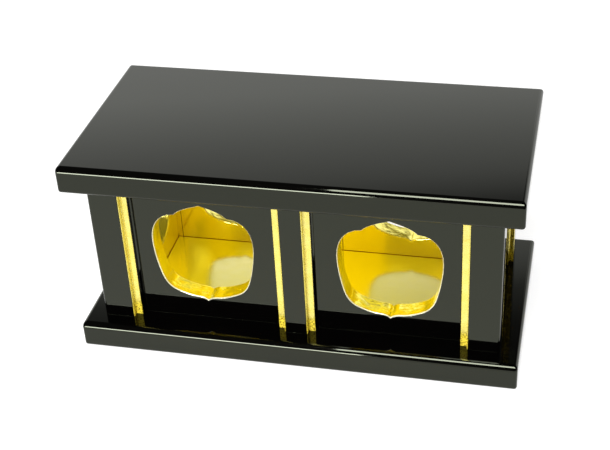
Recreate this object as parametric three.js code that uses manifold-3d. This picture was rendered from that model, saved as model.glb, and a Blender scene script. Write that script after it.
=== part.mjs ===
// A black-lacquered altar stand: a low cabinet between two rounded boards.
// Posts with gilt fillets frame thick panels, and each panel has a cusped kozama window.
// Millimetres, +X to the right, +Y to the back, +Z up, origin under the middle of the base.

import * as THREE from 'three';
import { mergeVertices } from 'three/addons/utils/BufferGeometryUtils.js';
import Module from 'manifold-3d';

const wasm = await Module();
wasm.setup();

// Boards
const BOARD_LENGTH = 300;
const BOARD_DEPTH = 150;
const BOARD_THICKNESS = 18.7;
const BOARD_UPPER_RADIUS = 3.4;
const BOARD_LOWER_RADIUS = 1.5;
const BOARD_CORNER_RADIUS = 1.8;
const BOARD_ROUNDING_SEGMENTS = 6;

// Cabinet between the boards
const OVERHANG_X = 13;
const OVERHANG_Y = 13.8;
const BODY_HEIGHT = 107;
const CORNER_FACE = 20.8;
const CENTRE_FACE = 14.4;
const POST_ARRIS_RADIUS = 2;
const POST_ARRIS_SEGMENTS = 4;

// Gilt fillets, an L in section, in the posts' rebated edges
const FILLET_WIDTH = 5.4;
const FILLET_STEP = 3.4;
const FILLET_THICKNESS = 0.8;

// Panels and their windows
const PANEL_RECESS = 8.5;
const PANEL_THICKNESS = 14;
const TONGUE_LENGTH = 3.7;
const TONGUE_THICKNESS = 4.4;
const FRONT_WINDOW_MARGIN = 13.8;
const SIDE_WINDOW_MARGIN = 8.8;
const WINDOW_SHIFT = 1.6;
const WINDOW_SILL = 13.4;
const WINDOW_HEAD = 15.9;
const WINDOW_ARRIS = 0.6;
const WINDOW_CURVE_SEGMENTS = 7;

// Gilt sheets on the cabinet's floor and ceiling
const LINING_THICKNESS = 0.8;

// Dowels that pin each post to both boards
const DOWEL_RADIUS = 3;
const DOWEL_IN_BOARD = 10;
const DOWEL_IN_POST = 14;
const DOWEL_SEGMENTS = 16;

// Clearances
const GLUE_LINE = 0.1;
const FIT_CLEARANCE = 0.3;
const DOWEL_CLEARANCE = 0.2;

// How far a cutting body runs past the body it cuts
const OVERRUN = 2;

const HALF_LENGTH = BOARD_LENGTH / 2 - OVERHANG_X;
const HALF_DEPTH = BOARD_DEPTH / 2 - OVERHANG_Y;
const BODY_TOP = BOARD_THICKNESS + BODY_HEIGHT;
const REBATE_DEPTH = FILLET_STEP + FILLET_THICKNESS + GLUE_LINE;
const CORNER_WIDTH = CORNER_FACE + FILLET_WIDTH;
const WALL_DEPTH = PANEL_RECESS + PANEL_THICKNESS;
const CENTRE_HALF_WIDTH = CENTRE_FACE / 2 + FILLET_WIDTH;
const GROOVE_DEPTH = TONGUE_LENGTH + FIT_CLEARANCE;
const GROOVE_HALF_WIDTH = TONGUE_THICKNESS / 2 + FIT_CLEARANCE;
const TONGUE_DEPTH = PANEL_RECESS + PANEL_THICKNESS / 2;

const LACQUER = new THREE.MeshStandardMaterial({ color: 0x0c0c0b, roughness: 0.08, metalness: 0 });
const GILT = new THREE.MeshStandardMaterial({ color: 0xe2b93c, roughness: 0.22, metalness: 1 });
const BARE_WOOD = new THREE.MeshStandardMaterial({ color: 0xc8a777, roughness: 0.8, metalness: 0 });

const stand = new THREE.Group();

function solidOf(geometry) {
  const bare = geometry.clone();
  bare.deleteAttribute('normal');
  bare.deleteAttribute('uv');
  const merged = mergeVertices(bare, 1e-4);
  return new wasm.Manifold(new wasm.Mesh({
    numProp: 3,
    vertProperties: new Float32Array(merged.getAttribute('position').array),
    triVerts: new Uint32Array(merged.getIndex().array),
  }));
}

function geometryOf(solid) {
  const mesh = solid.getMesh();
  const geometry = new THREE.BufferGeometry();
  geometry.setAttribute('position', new THREE.BufferAttribute(new Float32Array(mesh.vertProperties), 3));
  geometry.setIndex(new THREE.BufferAttribute(new Uint32Array(mesh.triVerts), 1));
  geometry.computeVertexNormals();
  return geometry;
}

function addPiece(name, geometry, material) {
  const piece = new THREE.Mesh(geometry, material);
  piece.name = name;
  stand.add(piece);
  return piece;
}

function prismOf(outline, depth, curveSegments) {
  return new THREE.ExtrudeGeometry(outline, { depth, bevelEnabled: false, curveSegments });
}

// An upright prism from a plan outline, standing on z
function upright(outline, z, height) {
  return prismOf(outline, height, POST_ARRIS_SEGMENTS).translate(0, 0, z);
}

// Along and depth run parallel to a face and inwards from it
const faceMaps = {
  front: (along, depth) => [along, depth - HALF_DEPTH],
  back: (along, depth) => [along, HALF_DEPTH - depth],
  left: (along, depth) => [depth - HALF_LENGTH, along],
  right: (along, depth) => [HALF_LENGTH - depth, along],
};

function outlineOf(points) {
  return new THREE.Shape(points.map(([x, y]) => new THREE.Vector2(x, y)));
}

// Posts

const SIDES = [
  { word: 'left', sign: -1 },
  { word: 'right', sign: 1 },
];
const FACES = [
  { word: 'front', sign: -1 },
  { word: 'back', sign: 1 },
];

function cornerOutline(signX, signY) {
  const at = (inX, inY) => [signX * (HALF_LENGTH - inX), signY * (HALF_DEPTH - inY)];
  const shape = new THREE.Shape();
  shape.moveTo(...at(POST_ARRIS_RADIUS, 0));
  const rest = [
    [CORNER_FACE, 0],
    [CORNER_FACE, REBATE_DEPTH],
    [CORNER_WIDTH, REBATE_DEPTH],
    [CORNER_WIDTH, TONGUE_DEPTH - GROOVE_HALF_WIDTH],
    [CORNER_WIDTH - GROOVE_DEPTH, TONGUE_DEPTH - GROOVE_HALF_WIDTH],
    [CORNER_WIDTH - GROOVE_DEPTH, TONGUE_DEPTH + GROOVE_HALF_WIDTH],
    [CORNER_WIDTH, TONGUE_DEPTH + GROOVE_HALF_WIDTH],
    [CORNER_WIDTH, WALL_DEPTH],
    [TONGUE_DEPTH + GROOVE_HALF_WIDTH, WALL_DEPTH],
    [TONGUE_DEPTH + GROOVE_HALF_WIDTH, WALL_DEPTH - GROOVE_DEPTH],
    [TONGUE_DEPTH - GROOVE_HALF_WIDTH, WALL_DEPTH - GROOVE_DEPTH],
    [TONGUE_DEPTH - GROOVE_HALF_WIDTH, WALL_DEPTH],
    [REBATE_DEPTH, WALL_DEPTH],
    [REBATE_DEPTH, WALL_DEPTH - FILLET_WIDTH],
    [0, WALL_DEPTH - FILLET_WIDTH],
    [0, POST_ARRIS_RADIUS],
  ];
  for (const [inX, inY] of rest) shape.lineTo(...at(inX, inY));
  shape.quadraticCurveTo(...at(0, 0), ...at(POST_ARRIS_RADIUS, 0));
  return shape;
}

function centreOutline(face) {
  const half = [
    [CENTRE_FACE / 2, 0],
    [CENTRE_FACE / 2, REBATE_DEPTH],
    [CENTRE_HALF_WIDTH, REBATE_DEPTH],
    [CENTRE_HALF_WIDTH, TONGUE_DEPTH - GROOVE_HALF_WIDTH],
    [CENTRE_HALF_WIDTH - GROOVE_DEPTH, TONGUE_DEPTH - GROOVE_HALF_WIDTH],
    [CENTRE_HALF_WIDTH - GROOVE_DEPTH, TONGUE_DEPTH + GROOVE_HALF_WIDTH],
    [CENTRE_HALF_WIDTH, TONGUE_DEPTH + GROOVE_HALF_WIDTH],
    [CENTRE_HALF_WIDTH, WALL_DEPTH],
  ];
  const mirrored = half.map(([x, depth]) => [-x, depth]).reverse();
  return outlineOf([...half, ...mirrored].map(([x, depth]) => faceMaps[face](x, depth)));
}

// Dowel holes and dowels

function dowelBody(x, y, low, high, radius) {
  const rod = new THREE.CylinderGeometry(radius, radius, high - low, DOWEL_SEGMENTS);
  return rod.rotateX(Math.PI / 2).translate(x, y, (low + high) / 2);
}

function boreAt([x, y], low, high) {
  return solidOf(dowelBody(x, y, low, high, DOWEL_RADIUS + DOWEL_CLEARANCE));
}

// Each dowel stands in the middle of its post's full section
const posts = [];
for (const side of SIDES) {
  for (const face of FACES) {
    const inX = CORNER_FACE / 2;
    const inY = (WALL_DEPTH - FILLET_WIDTH) / 2;
    posts.push({
      name: `${face.word}_${side.word}`,
      outline: cornerOutline(side.sign, face.sign),
      dowel: [side.sign * (HALF_LENGTH - inX), face.sign * (HALF_DEPTH - inY)],
    });
  }
}
for (const face of FACES) {
  posts.push({
    name: `${face.word}_centre`,
    outline: centreOutline(face.word),
    dowel: [0, face.sign * (HALF_DEPTH - WALL_DEPTH / 2)],
  });
}

function addPost({ name, outline, dowel }) {
  const height = BODY_HEIGHT - 2 * GLUE_LINE;
  const blank = solidOf(upright(outline, BOARD_THICKNESS + GLUE_LINE, height));
  const drilled = blank
    .subtract(boreAt(dowel, 0, BOARD_THICKNESS + DOWEL_IN_POST))
    .subtract(boreAt(dowel, BODY_TOP - DOWEL_IN_POST, BODY_TOP + DOWEL_IN_BOARD));
  addPiece(`post_${name}`, geometryOf(drilled), LACQUER);
  for (const [end, seam, down, up] of [
    ['foot', BOARD_THICKNESS, DOWEL_IN_BOARD, DOWEL_IN_POST],
    ['head', BODY_TOP, DOWEL_IN_POST, DOWEL_IN_BOARD],
  ]) {
    const rod = dowelBody(dowel[0], dowel[1], seam - down + FIT_CLEARANCE, seam + up - FIT_CLEARANCE, DOWEL_RADIUS);
    addPiece(`dowel_${name}_${end}`, rod, BARE_WOOD);
  }
}

// Boards

// A rectangle about the origin with its own radius at the lower and at the upper corners
function roundedOutline(width, height, lowerRadius, upperRadius) {
  const shape = new THREE.Shape();
  const right = width / 2;
  const top = height / 2;
  shape.absarc(right - lowerRadius, lowerRadius - top, lowerRadius, -Math.PI / 2, 0);
  shape.absarc(right - upperRadius, top - upperRadius, upperRadius, 0, Math.PI / 2);
  shape.absarc(upperRadius - right, top - upperRadius, upperRadius, Math.PI / 2, Math.PI);
  shape.absarc(lowerRadius - right, lowerRadius - top, lowerRadius, Math.PI, 1.5 * Math.PI);
  return shape;
}

function centredPrism(outline, depth) {
  return prismOf(outline, depth, BOARD_ROUNDING_SEGMENTS).translate(0, 0, -depth / 2);
}

// What a plan and two sections have in common: large roundings above, small ones below and at the corners
function boardBlank() {
  const plan = roundedOutline(BOARD_LENGTH, BOARD_DEPTH, BOARD_CORNER_RADIUS, BOARD_CORNER_RADIUS);
  const long = roundedOutline(BOARD_LENGTH, BOARD_THICKNESS, BOARD_LOWER_RADIUS, BOARD_UPPER_RADIUS);
  const cross = roundedOutline(BOARD_DEPTH, BOARD_THICKNESS, BOARD_LOWER_RADIUS, BOARD_UPPER_RADIUS);
  const upwards = solidOf(centredPrism(plan, BOARD_THICKNESS + OVERRUN));
  const backwards = solidOf(centredPrism(long, BOARD_DEPTH + OVERRUN).rotateX(Math.PI / 2));
  const sideways = solidOf(centredPrism(cross, BOARD_LENGTH + OVERRUN).rotateX(Math.PI / 2).rotateZ(Math.PI / 2));
  return upwards.intersect(backwards).intersect(sideways);
}

function addBoard(name, bottom, boreLow, boreHigh) {
  let board = boardBlank().translate([0, 0, bottom + BOARD_THICKNESS / 2]);
  for (const { dowel } of posts) board = board.subtract(boreAt(dowel, boreLow, boreHigh));
  addPiece(name, geometryOf(board), LACQUER);
}

// Windows: a cusped head over swelling sides, with a small drop in the middle of the sill.
// The outline is drawn for a half width of 1 and a height of 1.

const KOZAMA_HALF = [
  [[0.034, 0.015], [0.098, 0.029], [0.182, 0.032]],
  [[0.308, 0.032], [0.49, 0.06], [0.616, 0.087]],
  [[0.784, 0.12], [0.857, 0.197], [0.896, 0.273]],
  [[0.95, 0.369], [1, 0.497], [1, 0.612]],
  [[1, 0.765], [0.84, 0.886], [0.521, 0.888]],
  [[0.434, 0.941], [0.196, 0.972], [0, 1]],
];

function kozamaOutline(width, height) {
  const put = (sign, [u, v]) => [sign * u * width / 2, v * height];
  const shape = new THREE.Shape();
  shape.moveTo(0, 0);
  for (const curve of KOZAMA_HALF) shape.bezierCurveTo(...curve.flatMap((point) => put(1, point)));
  for (let i = KOZAMA_HALF.length - 1; i >= 0; i -= 1) {
    const [first, second] = KOZAMA_HALF[i];
    const end = i > 0 ? KOZAMA_HALF[i - 1][2] : [0, 0];
    shape.bezierCurveTo(...put(-1, second), ...put(-1, first), ...put(-1, end));
  }
  return shape;
}

// A cutter through the panel. It flares to the full width and height at both faces, which softens the window's edge.
function windowCutter(width, height) {
  const outline = kozamaOutline(width - 2 * WINDOW_ARRIS, height - 2 * WINDOW_ARRIS);
  const through = prismOf(outline, PANEL_THICKNESS + 2 * OVERRUN, WINDOW_CURVE_SEGMENTS)
    .translate(0, 0, -PANEL_THICKNESS / 2 - OVERRUN);
  const flare = () => new THREE.ExtrudeGeometry(outline, {
    depth: OVERRUN,
    bevelThickness: WINDOW_ARRIS,
    bevelSize: WINDOW_ARRIS,
    bevelSegments: 1,
    curveSegments: WINDOW_CURVE_SEGMENTS,
  });
  const outer = flare().translate(0, 0, PANEL_THICKNESS / 2);
  const inner = flare().translate(0, 0, -PANEL_THICKNESS / 2 - OVERRUN);
  return solidOf(through.rotateX(Math.PI / 2))
    .add(solidOf(outer.rotateX(Math.PI / 2)))
    .add(solidOf(inner.rotateX(Math.PI / 2)));
}

// A panel between two posts, seen from outside: its tongues run in the posts' grooves
function panelGeometry(bayWidth, windowMargin, windowShift) {
  const half = bayWidth / 2 - GLUE_LINE;
  const tip = bayWidth / 2 + TONGUE_LENGTH;
  const face = PANEL_THICKNESS / 2;
  const tongue = TONGUE_THICKNESS / 2;
  const end = [
    [half, -face],
    [half, -tongue],
    [tip, -tongue],
    [tip, tongue],
    [half, tongue],
    [half, face],
  ];
  const otherEnd = end.map(([x, y]) => [-x, y]).reverse();
  const plate = solidOf(upright(outlineOf([...end, ...otherEnd]), GLUE_LINE, BODY_HEIGHT - 2 * GLUE_LINE));
  const width = bayWidth - 2 * windowMargin;
  const cutter = windowCutter(width, BODY_HEIGHT - WINDOW_SILL - WINDOW_HEAD);
  return geometryOf(plate.subtract(cutter.translate([windowShift, 0, WINDOW_SILL + WINDOW_ARRIS])));
}

function addPanel(name, geometry, x, y, turn) {
  const panel = addPiece(`panel_${name}`, geometry, LACQUER);
  panel.position.set(x, y, BOARD_THICKNESS);
  panel.rotation.z = turn;
}

function addPanels() {
  const wall = WALL_DEPTH - PANEL_THICKNESS / 2;
  const bay = HALF_LENGTH - CORNER_WIDTH - CENTRE_HALF_WIDTH;
  const bayMiddle = (HALF_LENGTH - CORNER_WIDTH + CENTRE_HALF_WIDTH) / 2;
  for (const side of SIDES) {
    for (const face of FACES) {
      const turn = face.sign < 0 ? 0 : Math.PI;
      const shift = -face.sign * side.sign * WINDOW_SHIFT;
      const geometry = panelGeometry(bay, FRONT_WINDOW_MARGIN, shift);
      addPanel(`${face.word}_${side.word}`, geometry, side.sign * bayMiddle, face.sign * (HALF_DEPTH - wall), turn);
    }
    const sideBay = 2 * (HALF_DEPTH - WALL_DEPTH);
    const geometry = panelGeometry(sideBay, SIDE_WINDOW_MARGIN, 0);
    addPanel(side.word, geometry, side.sign * (HALF_LENGTH - wall), 0, side.sign * Math.PI / 2);
  }
}

// Gilt fillets: one leg lines the rebate's side, the other its floor

function addFillet(name, face, start, towards) {
  const at = faceMaps[face];
  const near = start + towards * GLUE_LINE;
  const step = start + towards * FILLET_THICKNESS;
  const far = start + towards * FILLET_WIDTH;
  const outline = outlineOf([
    at(near, 0),
    at(step, 0),
    at(step, FILLET_STEP),
    at(far, FILLET_STEP),
    at(far, FILLET_STEP + FILLET_THICKNESS),
    at(near, FILLET_STEP + FILLET_THICKNESS),
  ]);
  addPiece(`fillet_${name}`, upright(outline, BOARD_THICKNESS + GLUE_LINE, BODY_HEIGHT - 2 * GLUE_LINE), GILT);
}

function addFillets() {
  for (const { word: face } of FACES) {
    for (const { word: side, sign } of SIDES) {
      addFillet(`${face}_${side}_outer`, face, sign * (HALF_LENGTH - CORNER_FACE), -sign);
      addFillet(`${face}_${side}_inner`, face, sign * CENTRE_FACE / 2, sign);
    }
  }
  for (const { word: side } of SIDES) {
    for (const { word: face, sign } of FACES) {
      addFillet(`${side}_${face}`, side, sign * (HALF_DEPTH - WALL_DEPTH + FILLET_WIDTH), -sign);
    }
  }
}

// Gilt sheets

function addLining(name, bottom) {
  const length = 2 * (HALF_LENGTH - WALL_DEPTH - FIT_CLEARANCE);
  const depth = 2 * (HALF_DEPTH - WALL_DEPTH - FIT_CLEARANCE);
  const sheet = new THREE.BoxGeometry(length, depth, LINING_THICKNESS);
  addPiece(name, sheet.translate(0, 0, bottom + LINING_THICKNESS / 2), GILT);
}

addBoard('base_board', 0, BOARD_THICKNESS - DOWEL_IN_BOARD, BODY_TOP);
addBoard('top_board', BODY_TOP, BOARD_THICKNESS, BODY_TOP + DOWEL_IN_BOARD);
for (const post of posts) addPost(post);
addPanels();
addFillets();
addLining('floor_lining', BOARD_THICKNESS + GLUE_LINE);
addLining('ceiling_lining', BODY_TOP - GLUE_LINE - LINING_THICKNESS);

export default stand;
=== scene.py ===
"""A black-lacquered altar stand with gilt fillets and cusped kozama windows, on a white table.

Metres, +X to the stand's right, +Y to its back, +Z up, origin under the middle of the base.
"""

import math

import bmesh
import bpy
from mathutils import Matrix, Vector


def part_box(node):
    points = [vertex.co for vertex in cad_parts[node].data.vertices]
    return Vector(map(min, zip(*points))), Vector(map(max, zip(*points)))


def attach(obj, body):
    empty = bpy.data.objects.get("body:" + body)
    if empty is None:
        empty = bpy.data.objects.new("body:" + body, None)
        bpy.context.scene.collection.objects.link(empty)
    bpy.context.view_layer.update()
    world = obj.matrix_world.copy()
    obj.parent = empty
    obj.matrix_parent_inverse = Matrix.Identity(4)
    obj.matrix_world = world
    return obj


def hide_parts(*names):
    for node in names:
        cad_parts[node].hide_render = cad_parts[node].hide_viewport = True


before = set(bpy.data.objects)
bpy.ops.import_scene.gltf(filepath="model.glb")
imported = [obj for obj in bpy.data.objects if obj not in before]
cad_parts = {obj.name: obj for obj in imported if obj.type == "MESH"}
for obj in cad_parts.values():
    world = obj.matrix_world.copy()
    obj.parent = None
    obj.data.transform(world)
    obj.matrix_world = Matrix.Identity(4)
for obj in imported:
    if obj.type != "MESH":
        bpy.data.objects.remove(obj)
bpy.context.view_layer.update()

MM = 0.001

# The body between the boards, as the frame has it
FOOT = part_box("base_board")[1].z
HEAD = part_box("top_board")[0].z
FLOOR_LEAF_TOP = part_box("floor_lining")[1].z
WALL_INNER_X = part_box("panel_right")[0].x
WALL_INNER_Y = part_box("panel_back_right")[0].y
WALL_OUTER_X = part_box("panel_right")[1].x
WALL_OUTER_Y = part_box("panel_back_right")[1].y
CORNER_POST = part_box("post_back_right")[0]
CENTRE_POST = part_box("post_back_centre")[1]
# Where a panel's face meets a post's side in the right back quarter, and the way each corner opens
BAY_CORNERS = (
    (CORNER_POST.x, WALL_OUTER_Y, -1, 1),
    (CENTRE_POST.x, WALL_OUTER_Y, 1, 1),
    (WALL_OUTER_X, CORNER_POST.y, 1, -1),
)
GLUE_LINE = 0.1 * MM
TOUCH = 0.1 * MM
GLUE_TOUCH = 0.01 * MM

# What the lacquerer and the gilder leave in the corners
SEAM_WIDTH = 0.6 * MM
SEAM_HEIGHT = 0.2 * MM
POOL_WIDTH = 0.9 * MM
POOL_DEPTH = 0.1 * MM
# How far in from the window's face the pale leaf of the painted highlight on the arris reaches
ARRIS = 0.65 * MM
WINDOW_MARGIN = 8 * MM
WORN_HEIGHT = 8 * MM
SOUND_HEIGHT = 12 * MM
WORN_SHARE = 0.85

# Edges as a lacquerer leaves them
BOARD_FRONT_ROUNDING = 4.2 * MM
BOARD_UPPER_ROUNDING = 2.6 * MM
BOARD_LOWER_ROUNDING = 2.2 * MM
BOARD_CORNER_ROUNDING = 1.8 * MM
BOARD_ROUNDING_STEPS = 10
SOFT_EDGE = 0.35 * MM
SOFT_EDGE_STEPS = 3
SHARP_ANGLE = math.radians(28)
FLAT_ANGLE = math.radians(0.5)
MERGE = 0.01 * MM

# The camera that the photograph was taken with
CAMERA_PLACE = Vector((180.68, -724.96, 562.44)) * MM
CAMERA_AZIMUTH = math.radians(14.39)
CAMERA_ELEVATION = math.radians(33.576)
CAMERA_ROLL = math.radians(-3.32)
CAMERA_CLIP_START = 0.01
SENSOR_WIDTH_MM = 36
LENS_MM = 75.99

# The white table, and the white screen behind the stand
TABLE_HALF_WIDTH = 6.0
TABLE_GLOW = 0.84
SCREEN_DISTANCE = 1.8
SCREEN_HALF_WIDTH = 3.0
SCREEN_HEIGHT = 1.55
SCREEN_GLOW = 1.34
SCREEN_FADE_START = 1.0
# How far up the fade, and the grey there
SCREEN_FADE = ((0.115, 1.0), (0.345, 0.7), (0.533, 0.5), (0.616, 0.345), (0.69, 0.18), (0.91, 0.05))
ROOM_GLOW = 0.04


# Colour and material helpers


def linear(hex_colour):
    """An sRGB hex colour as linear red, green, blue and alpha."""
    channels = [int(hex_colour[i:i + 2], 16) / 255 for i in (1, 3, 5)]
    return [c / 12.92 if c <= 0.04045 else ((c + 0.055) / 1.055) ** 2.4 for c in channels] + [1.0]


def add_node(tree, kind, inputs=None, **settings):
    """Adds a node; inputs are links where they are sockets and constants where they aren't."""
    node = tree.nodes.new(kind)
    for name, value in settings.items():
        setattr(node, name, value)
    for socket, value in (inputs or {}).items():
        if isinstance(value, bpy.types.NodeSocket):
            tree.links.new(value, node.inputs[socket])
        else:
            node.inputs[socket].default_value = value
    return node


def math_node(tree, operation, *values):
    """The result of a math node on one or two values."""
    return add_node(tree, "ShaderNodeMath", dict(enumerate(values)), operation=operation).outputs["Value"]


def mixed_colour(tree, factor, first, second):
    """A colour between two hex colours."""
    return add_node(tree, "ShaderNodeMix", {
        "Factor": factor, "A": linear(first), "B": linear(second),
    }, data_type="RGBA").outputs["Result"]


def noise(tree, place, **inputs):
    """A noise pattern's value on the object's own coordinates."""
    return add_node(tree, "ShaderNodeTexNoise", {"Vector": place, **inputs}).outputs["Fac"]


def new_material(name):
    """A material with an empty tree, its tree and its Object coordinates."""
    material = bpy.data.materials.new(name)
    material.use_nodes = True
    tree = material.node_tree
    tree.nodes.clear()
    place = add_node(tree, "ShaderNodeTexCoord").outputs["Object"]
    return material, tree, place


def finish_material(tree, surface):
    add_node(tree, "ShaderNodeOutputMaterial", {"Surface": surface})


# Materials


def polished_black_lacquer(name, ior):
    """Black urushi over wood, polished: a dark mirror with a very slight swell left by the brush."""
    material, tree, place = new_material(name)
    # The swell of the brushed coat, a few centimetres from crest to crest
    bump = add_node(tree, "ShaderNodeBump", {
        "Strength": 0.05, "Distance": 0.1 * MM, "Height": noise(tree, place, Scale=28.0, Detail=1.0),
    })
    # Handling leaves the polish a little duller in soft patches
    patches = noise(tree, place, Scale=45.0, Detail=3.0)
    roughness = add_node(tree, "ShaderNodeMapRange", {
        "Value": patches, "From Min": 0.3, "From Max": 0.7, "To Min": 0.03, "To Max": 0.06,
    })
    # Urushi is a brown varnish, so what it mirrors comes back a little yellow
    shader = add_node(tree, "ShaderNodeBsdfPrincipled", {
        "Base Color": mixed_colour(tree, patches, "#020202", "#040303"),
        "Roughness": roughness.outputs["Result"],
        "IOR": ior,
        "Specular Tint": linear("#f4fce0"),
        "Normal": bump.outputs["Normal"],
    })
    finish_material(tree, shader.outputs["BSDF"])
    return material


def bare_seams(tree, place):
    """One where the leaf of the floor meets that of the walls, and nothing elsewhere."""
    apart = add_node(tree, "ShaderNodeSeparateXYZ", {"Vector": place}).outputs
    near = [
        math_node(tree, "GREATER_THAN", math_node(tree, "ABSOLUTE", apart[axis]), wall - SEAM_WIDTH)
        for axis, wall in (("X", WALL_INNER_X), ("Y", WALL_INNER_Y))
    ]
    low = math_node(tree, "LESS_THAN", apart["Z"], FLOOR_LEAF_TOP + SEAM_HEIGHT)
    return math_node(tree, "MINIMUM", math_node(tree, "MAXIMUM", *near), low)


def worn_foot(tree, place):
    """One at a fillet's foot, where the leaf is rubbed dull, and nothing from a little above it."""
    height = add_node(tree, "ShaderNodeSeparateXYZ", {"Vector": place}).outputs["Z"]
    return add_node(tree, "ShaderNodeMapRange", {
        "Value": height, "From Min": FOOT + WORN_HEIGHT, "From Max": FOOT + SOUND_HEIGHT,
        "To Min": 1.0, "To Max": 0.0,
    }).outputs["Result"]


def rubbed_through(tree, place, surface):
    """The surface with its foot rubbed to the yellow size, and dark specks where that has gone too."""
    speckled = add_node(tree, "ShaderNodeMapRange", {
        "Value": noise(tree, place, Scale=900.0, Detail=2.0), "From Min": 0.38, "From Max": 0.5,
    })
    size = mixed_colour(tree, speckled.outputs["Result"], "#6c4808", "#ffe84c")
    rubbed = add_node(tree, "ShaderNodeBsdfDiffuse", {"Color": size})
    share = math_node(tree, "MULTIPLY", worn_foot(tree, place), WORN_SHARE)
    return add_node(tree, "ShaderNodeMixShader", {
        0: share, 1: surface, 2: rubbed.outputs["BSDF"],
    }).outputs["Shader"]


def seamed(tree, place, surface):
    """The surface with the brown ground bare in its seams."""
    brown = add_node(tree, "ShaderNodeBsdfDiffuse", {"Color": linear("#6e3a04")})
    return add_node(tree, "ShaderNodeMixShader", {
        0: bare_seams(tree, place), 1: surface, 2: brown.outputs["BSDF"],
    }).outputs["Shader"]


def gold_leaf(name, tones, roughness, scatter, under, foot=False, seams=False, uneven=0.0):
    """Burnished gold leaf: a mirror that scatters a little where the ground shows through its pores."""
    material, tree, place = new_material(name)
    # A slow change of tone and polish over a few millimetres
    mottle = noise(tree, place, Scale=160.0, Detail=4.0, Roughness=0.5)
    tone = add_node(tree, "ShaderNodeMapRange", {"Value": mottle, "From Min": 0.35, "From Max": 0.65})
    polish = add_node(tree, "ShaderNodeMapRange", {
        "Value": mottle, "From Min": 0.3, "From Max": 0.7, "To Min": roughness[0], "To Max": roughness[1],
    })
    # Fine creases of the leaf, about a millimetre apart
    bump = add_node(tree, "ShaderNodeBump", {
        "Strength": 0.12, "Distance": 0.03 * MM, "Height": noise(tree, place, Scale=700.0, Detail=3.0),
    })
    if uneven:
        # A sawn and scraped edge isn't flat under its leaf, but swells and dips every few millimetres
        bump = add_node(tree, "ShaderNodeBump", {
            "Strength": uneven, "Distance": 1.0 * MM, "Normal": bump.outputs["Normal"],
            "Height": noise(tree, place, Scale=120.0, Detail=2.0),
        })
    metal = add_node(tree, "ShaderNodeBsdfPrincipled", {
        "Base Color": mixed_colour(tree, tone.outputs["Result"], *tones),
        "Metallic": 1.0,
        "Roughness": polish.outputs["Result"],
        "Normal": bump.outputs["Normal"],
    })
    ground = add_node(tree, "ShaderNodeBsdfDiffuse", {"Color": linear(under)})
    surface = add_node(tree, "ShaderNodeMixShader", {
        0: scatter, 1: metal.outputs["BSDF"], 2: ground.outputs["BSDF"],
    }).outputs["Shader"]
    if foot:
        surface = rubbed_through(tree, place, surface)
    if seams:
        surface = seamed(tree, place, surface)
    finish_material(tree, surface)
    return material


def planed_cypress():
    """Bare planed cypress, as the hidden dowels are: pale, with straight grain along the pin."""
    material, tree, place = new_material("planed_bare_cypress")
    stretched = add_node(tree, "ShaderNodeMapping", {"Vector": place, "Scale": (1.0, 1.0, 0.05)})
    grain = noise(tree, stretched.outputs["Vector"], Scale=900.0, Detail=4.0)
    shader = add_node(tree, "ShaderNodeBsdfPrincipled", {
        "Base Color": mixed_colour(tree, grain, "#d8bd8c", "#b98f58"), "Roughness": 0.6,
    })
    finish_material(tree, shader.outputs["BSDF"])
    return material


BOARD_LACQUER = polished_black_lacquer("polished_black_urushi_lacquer", 1.45)
LACQUER = polished_black_lacquer("black_urushi_lacquer_of_the_body", 1.5)
FILLET_LEAF = gold_leaf(
    "gold_leaf_of_the_fillets", tones=("#ece290", "#e6d87c"), roughness=(0.2, 0.3),
    scatter=0.25, under="#ffe430", foot=True,
)
LEAF = gold_leaf(
    "burnished_gold_leaf", tones=("#f2ec8c", "#ece27c"), roughness=(0.08, 0.16),
    scatter=0.2, under="#ffe800", uneven=0.5,
)
INNER_LEAF = gold_leaf(
    "gold_leaf_of_the_inner_walls", tones=("#f8f298", "#f4ec8c"), roughness=(0.07, 0.13),
    scatter=0.35, under="#ffda00", seams=True,
)
FLOOR_LEAF = gold_leaf(
    "gold_leaf_of_the_floor", tones=("#fffac4", "#fcf6b8"), roughness=(0.13, 0.17),
    scatter=0.25, under="#fff400", seams=True,
)
# The windows' arrises get a near-white, rough leaf: a painted highlight where their edges catch the lamps
ARRIS_HIGHLIGHT_LEAF = gold_leaf(
    "gold_leaf_of_the_arrises_painted_pale_as_highlight", tones=("#fffce8", "#fff8d0"), roughness=(0.2, 0.3),
    scatter=0.5, under="#fffbe0",
)
CYPRESS = planed_cypress()


# Pieces


def object_of(bm, name, materials):
    """Turns the mesh into an object in the scene with those materials."""
    mesh = bpy.data.meshes.new(name)
    bm.to_mesh(mesh)
    bm.free()
    for material in materials:
        mesh.materials.append(material)
    made = bpy.data.objects.new(name, mesh)
    bpy.context.scene.collection.objects.link(made)
    return made


def finish_piece(bm, name, node, materials, rounding=None):
    """Makes the mesh an object of its own that stands for the CAD node."""
    piece = object_of(bm, name, materials)
    piece.data.shade_smooth()
    piece.data.set_sharp_from_angle(angle=SHARP_ANGLE)
    if rounding:
        bevel = piece.modifiers.new("rounded_edges", "BEVEL")
        bevel.limit_method = "WEIGHT"
        bevel.width = rounding
        bevel.segments = BOARD_ROUNDING_STEPS
        bevel.use_clamp_overlap = False
    weighted = piece.modifiers.new("even_shading", "WEIGHTED_NORMAL")
    weighted.keep_sharp = True
    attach(piece, "root")
    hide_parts(node)


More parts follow.
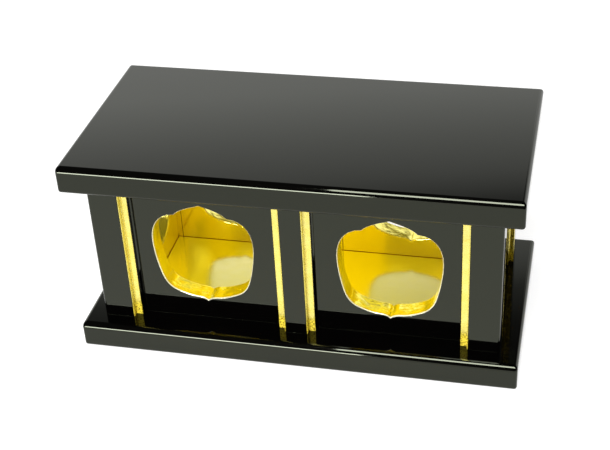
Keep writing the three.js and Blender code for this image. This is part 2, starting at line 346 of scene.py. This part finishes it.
def rounded_board(node):
    """A board whose upper front edge is rounded well over, and its other edges less."""
    low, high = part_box(node)
    middle = (low + high) / 2
    bm = bmesh.new()
    bmesh.ops.create_cube(bm, size=1)
    bmesh.ops.scale(bm, vec=high - low, verts=bm.verts)
    bmesh.ops.translate(bm, vec=middle, verts=bm.verts)
    weight = bm.edges.layers.float.new("bevel_weight_edge")
    for edge in bm.edges:
        heights = [vertex.co.z for vertex in edge.verts]
        radius = BOARD_CORNER_ROUNDING
        if max(heights) < middle.z:
            radius = BOARD_LOWER_ROUNDING
        elif min(heights) > middle.z:
            at_front = all(vertex.co.y < middle.y for vertex in edge.verts)
            radius = BOARD_FRONT_ROUNDING if at_front else BOARD_UPPER_ROUNDING
        edge[weight] = radius / BOARD_FRONT_ROUNDING
    finish_piece(bm, f"lacquered_{node}", node, [BOARD_LACQUER], BOARD_FRONT_ROUNDING)


def softened_copy(node):
    """The node's own form with its edges softened, as lacquer rounds them."""
    bm = bmesh.new()
    bm.from_mesh(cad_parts[node].data)
    for face in bm.faces:
        face.material_index = 0
    bmesh.ops.remove_doubles(bm, verts=bm.verts, dist=MERGE)
    bmesh.ops.dissolve_limit(bm, angle_limit=FLAT_ANGLE, verts=bm.verts, edges=bm.edges)
    edges = [edge for edge in bm.edges if edge.is_manifold and edge.calc_face_angle() > SHARP_ANGLE]
    bmesh.ops.bevel(
        bm, geom=edges, offset=SOFT_EDGE, offset_type="OFFSET", segments=SOFT_EDGE_STEPS,
        profile=0.5, affect="EDGES", material=-1, clamp_overlap=True,
    )
    # Lacquer fills the glue lines, so the ends meet the boards
    for vertex in bm.verts:
        if vertex.co.z < FOOT + GLUE_LINE + GLUE_TOUCH:
            vertex.co.z = FOOT
        elif vertex.co.z > HEAD - GLUE_LINE - GLUE_TOUCH:
            vertex.co.z = HEAD
    return bm


def post(node):
    """Lacquered, with gold leaf on the face that closes the inside."""
    bm = softened_copy(node)
    for face in bm.faces:
        face.material_index = int(abs(face.calc_center_median().y) < WALL_INNER_Y + TOUCH)
    finish_piece(bm, f"lacquered_{node}", node, [LACQUER, INNER_LEAF])


def panel(node):
    """Lacquered outside, with gold leaf on the window's reveal and on the inner face."""
    low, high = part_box(node)
    axis = 0 if high.x - low.x < high.y - low.y else 1
    along = 1 - axis
    outside = max(abs(low[axis]), abs(high[axis]))
    inside = min(abs(low[axis]), abs(high[axis]))
    middle = (low + high) / 2
    materials = [LACQUER, LEAF, INNER_LEAF, ARRIS_HIGHLIGHT_LEAF]
    bm = softened_copy(node)
    for face in bm.faces:
        centre = face.calc_center_median()
        depth = abs(centre[axis])
        in_window = (
            abs(centre.z - middle.z) < (high.z - low.z) / 2 - WINDOW_MARGIN
            and abs(centre[along] - middle[along]) < (high[along] - low[along]) / 2 - WINDOW_MARGIN
        )
        if depth > outside - TOUCH or not (in_window or depth < inside + TOUCH):
            finish = LACQUER
        elif depth < inside + TOUCH:
            finish = INNER_LEAF
        # The outer edge of the reveal takes the near-white leaf, a painted highlight
        elif depth > outside - ARRIS:
            finish = ARRIS_HIGHLIGHT_LEAF
        else:
            finish = LEAF
        face.material_index = materials.index(finish)
    finish_piece(bm, f"windowed_{node}", node, materials)


def fillet(node):
    """A gilt strip let into a post's edge."""
    finish_piece(softened_copy(node), f"gilt_{node}", node, [FILLET_LEAF])


def refinished(node_object, material):
    """Gives the CAD node another material and leaves its form alone."""
    node_object.data.materials.clear()
    node_object.data.materials.append(material)


def pooled_lacquer():
    """The thin line of lacquer that has pooled in each corner between a panel and a post."""
    bm = bmesh.new()
    for side in (-1, 1):
        for face in (-1, 1):
            for x, y, open_x, open_y in BAY_CORNERS:
                section = bm.faces.new([
                    bm.verts.new((side * (x + open_x * out_x), face * (y + open_y * out_y), FOOT))
                    for out_x, out_y in (
                        (-POOL_DEPTH, -POOL_DEPTH), (POOL_WIDTH, -POOL_DEPTH), (-POOL_DEPTH, POOL_WIDTH),
                    )
                ])
                raised = bmesh.ops.extrude_face_region(bm, geom=[section])["geom"]
                top = [part for part in raised if isinstance(part, bmesh.types.BMVert)]
                bmesh.ops.translate(bm, vec=(0, 0, HEAD - FOOT), verts=top)
    bmesh.ops.recalc_face_normals(bm, faces=bm.faces)
    piece = object_of(bm, "pooled_lacquer", [LACQUER])
    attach(piece, "root")


for board_node in ("base_board", "top_board"):
    rounded_board(board_node)
for node_name, node_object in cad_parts.items():
    if node_name.startswith("post_"):
        post(node_name)
    elif node_name.startswith("panel_"):
        panel(node_name)
    elif node_name.startswith("fillet_"):
        fillet(node_name)
    elif node_name.endswith("_lining"):
        refinished(node_object, FLOOR_LEAF)
    elif node_name.startswith("dowel_"):
        refinished(node_object, CYPRESS)
pooled_lacquer()


# The white table and the studio


def table():
    """A white table top that stays white to the lens and keeps the stand's soft shadow."""
    material, tree, _ = new_material("matt_white_paper")
    rays = add_node(tree, "ShaderNodeLightPath").outputs
    seen = math_node(tree, "MAXIMUM", rays["Is Camera Ray"], rays["Is Glossy Ray"])
    seen = math_node(tree, "MAXIMUM", seen, rays["Is Transmission Ray"])
    paper = add_node(tree, "ShaderNodeBsdfDiffuse", {"Color": linear("#b8b8b6")})
    glow = add_node(tree, "ShaderNodeEmission", {"Strength": math_node(tree, "MULTIPLY", seen, TABLE_GLOW)})
    both = add_node(tree, "ShaderNodeAddShader", {0: paper.outputs["BSDF"], 1: glow.outputs["Emission"]})
    finish_material(tree, both.outputs["Shader"])
    bm = bmesh.new()
    bmesh.ops.create_grid(bm, x_segments=1, y_segments=1, size=TABLE_HALF_WIDTH)
    object_of(bm, "white_table", [material])


def screen():
    """A white screen square to the camera, that fades into the dark of the room at the top."""
    material, tree, place = new_material("lit_white_screen")
    height = add_node(tree, "ShaderNodeSeparateXYZ", {"Vector": place}).outputs["Z"]
    fade = add_node(tree, "ShaderNodeMapRange", {
        "Value": height, "From Min": SCREEN_FADE_START, "From Max": SCREEN_HEIGHT,
    })
    ramp = add_node(tree, "ShaderNodeValToRGB", {"Fac": fade.outputs["Result"]})
    stops = ramp.color_ramp.elements
    stops[0].position = SCREEN_FADE[0][0]
    stops[1].position = SCREEN_FADE[-1][0]
    for position, _ in SCREEN_FADE[1:-1]:
        stops.new(position)
    for stop, (_, grey) in zip(stops, SCREEN_FADE):
        stop.color = (grey, grey, grey, 1.0)
    glow = add_node(tree, "ShaderNodeEmission", {"Color": ramp.outputs["Color"], "Strength": SCREEN_GLOW})
    finish_material(tree, glow.outputs["Emission"])
    away = Vector((-math.sin(CAMERA_AZIMUTH), math.cos(CAMERA_AZIMUTH), 0.0))
    across = Vector((away.y, -away.x, 0.0)) * SCREEN_HALF_WIDTH
    bm = bmesh.new()
    bm.faces.new([
        bm.verts.new(away * SCREEN_DISTANCE + across * side + Vector((0.0, 0.0, up)))
        for side, up in ((-1, 0.0), (1, 0.0), (1, SCREEN_HEIGHT), (-1, SCREEN_HEIGHT))
    ])
    object_of(bm, "white_screen", [material])


def soft_box(name, place, target, width, height, radiance, mirrored=True):
    """A rectangular lamp that looks at target and shines evenly at that radiance."""
    light = bpy.data.lights.new(name, "AREA")
    light.shape = "RECTANGLE"
    light.size = width
    light.size_y = height
    light.energy = radiance * math.pi * width * height
    lamp = bpy.data.objects.new(name, light)
    lamp.location = place
    lamp.rotation_euler = (Vector(target) - Vector(place)).to_track_quat("-Z", "Y").to_euler()
    lamp.visible_glossy = mirrored
    bpy.context.scene.collection.objects.link(lamp)


def studio_world():
    """The dark room round the table."""
    world = bpy.data.worlds.new("studio")
    world.use_nodes = True
    tree = world.node_tree
    tree.nodes.clear()
    back = add_node(tree, "ShaderNodeBackground", {"Color": linear("#ffffff"), "Strength": ROOM_GLOW})
    add_node(tree, "ShaderNodeOutputWorld", {"Surface": back.outputs["Background"]})
    bpy.context.scene.world = world


def photograph_camera():
    camera = bpy.data.cameras.new("camera")
    camera.sensor_fit = "HORIZONTAL"
    camera.sensor_width = SENSOR_WIDTH_MM
    camera.lens = LENS_MM
    camera.clip_start = CAMERA_CLIP_START
    holder = bpy.data.objects.new("camera", camera)
    ahead = Vector((
        -math.sin(CAMERA_AZIMUTH) * math.cos(CAMERA_ELEVATION),
        math.cos(CAMERA_AZIMUTH) * math.cos(CAMERA_ELEVATION),
        -math.sin(CAMERA_ELEVATION),
    ))
    turn = ahead.to_track_quat("-Z", "Y").to_matrix().to_4x4()
    holder.matrix_world = Matrix.Translation(CAMERA_PLACE) @ turn @ Matrix.Rotation(CAMERA_ROLL, 4, "Z")
    bpy.context.scene.collection.objects.link(holder)
    bpy.context.scene.camera = holder


table()
screen()
soft_box(
    "overhead_soft_box", place=(0.035, -0.58, 1.15), target=(0.035, -0.075, 0.1),
    width=0.45, height=0.52, radiance=18.0,
)
soft_box(
    "front_left_soft_box", place=(-0.5, -1.575, 0.18), target=(0, 0, 0.1),
    width=0.62, height=0.34, radiance=28.0,
)
# The light that the gilt walls throw to and fro, more often than the renderer follows it
soft_box(
    "glow_inside_the_cabinet", place=(0, 0, 0.122), target=(0, 0, 0.02),
    width=0.21, height=0.07, radiance=3.0, mirrored=False,
)
studio_world()
photograph_camera()
bpy.context.scene.view_settings.view_transform = "Standard"
